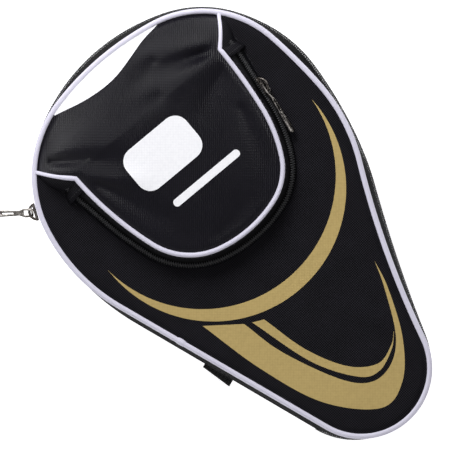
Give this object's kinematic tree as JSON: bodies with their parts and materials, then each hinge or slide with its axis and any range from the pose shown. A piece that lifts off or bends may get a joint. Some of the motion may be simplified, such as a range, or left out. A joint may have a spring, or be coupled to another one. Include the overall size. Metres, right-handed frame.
{
  "type": "table tennis racket case",
  "caption": "Gourd-shaped padded racket case in two fabric shells, with a zip round the edge, a fabric spine, white piping and a zipped ball pocket on the front.",
  "frame": {"origin": "on the flat back face, below the middle of the widest part of the head", "axes": "+Z out of the front, square to the back face; +Y along the case towards the head, the longest way; +X towards the side with the zip"},
  "size_m": [0.2221, 0.3014, 0.052],
  "materials": {
    "black_nylon": "woven nylon, matt",
    "ribbed_nylon": "ribbed nylon with a soft sheen",
    "piping_cord": "woven tape over cord",
    "foam_board": "closed-cell foam",
    "lining": "smooth lining cloth",
    "binding_tape": "ribbed binding tape",
    "zip_tape": "woven zip tape",
    "zip_coil": "nylon coil",
    "webbing": "flat woven webbing",
    "black_nickel": "black nickel plate"
  },
  "bodies": {
    "back_shell": {"back_panel": "black_nylon", "back_foam_board": "foam_board", "back_lining": "lining", "back_piping": "piping_cord", "back_wall": "black_nylon", "back_wall_lining": "lining", "back_seam_binding": "binding_tape", "back_zip_tape": "zip_tape", "back_zip_coil": "zip_coil", "spine_hinge_strip": "zip_tape", "spine_loop": "webbing"},
    "front_shell": {"front_panel": "black_nylon", "front_foam_board": "foam_board", "front_lining": "lining", "front_piping": "piping_cord", "front_wall": "black_nylon", "front_wall_lining": "lining", "front_seam_binding": "binding_tape", "front_zip_tape": "zip_tape", "front_zip_coil": "zip_coil", "pocket_side_wall": "black_nylon", "pocket_lower_tape": "zip_tape", "pocket_lower_coil": "zip_coil", "pocket_crown": "ribbed_nylon", "pocket_end_tab_left": "black_nylon", "pocket_end_tab_right": "black_nylon"},
    "pocket_flap": {"pocket_panel": "ribbed_nylon", "pocket_lining": "lining", "pocket_piping": "piping_cord", "pocket_rim": "black_nylon", "pocket_upper_tape": "zip_tape", "pocket_upper_coil": "zip_coil"},
    "main_slider": {"main_slider": "black_nickel"},
    "main_pull": {"main_pull": "black_nickel"},
    "pocket_slider": {"pocket_slider": "black_nickel"},
    "pocket_pull": {"pocket_pull": "black_nickel"}
  },
  "joints": [
    {"name": "spine_fold", "type": "hinge", "parent": "back_shell", "child": "front_shell", "pos_m": [-0.04477, -0.17467, 0.017], "axis": [0.3387, -0.9409, 0], "range_deg": [0, 140], "deforming": ["spine_hinge_strip"]},
    {"name": "pocket_mouth", "type": "hinge", "parent": "front_shell", "child": "pocket_flap", "pos_m": [0, 0.0466, 0.051], "axis": [-1, 0, 0], "range_deg": [0, 55], "deforming": ["pocket_crown"]},
    {"name": "main_zip_travel", "type": "hinge", "parent": "back_shell", "child": "main_slider", "pos_m": [-0.01632, 0.00861, 0.017], "axis": [0, 0, -1], "range_deg": [0, 38]},
    {"name": "main_pull_swing", "type": "hinge", "parent": "main_slider", "child": "main_pull", "pos_m": [-0.09324, 0.04238, 0.017], "axis": [0.1699, 0.387, 0.9063], "range_deg": [-40, 56]},
    {"name": "pocket_zip_travel", "type": "hinge", "parent": "front_shell", "child": "pocket_slider", "pos_m": [-0.25802, 0.045, 0.04], "axis": [0, 0, 1], "range_deg": [-2, 3.4]},
    {"name": "pocket_pull_swing", "type": "hinge", "parent": "pocket_slider", "child": "pocket_pull", "pos_m": [0.06855, 0.01125, 0.04149], "axis": [-0.5123, 0.0529, 0.8572], "range_deg": [0, 170]}
  ]
}
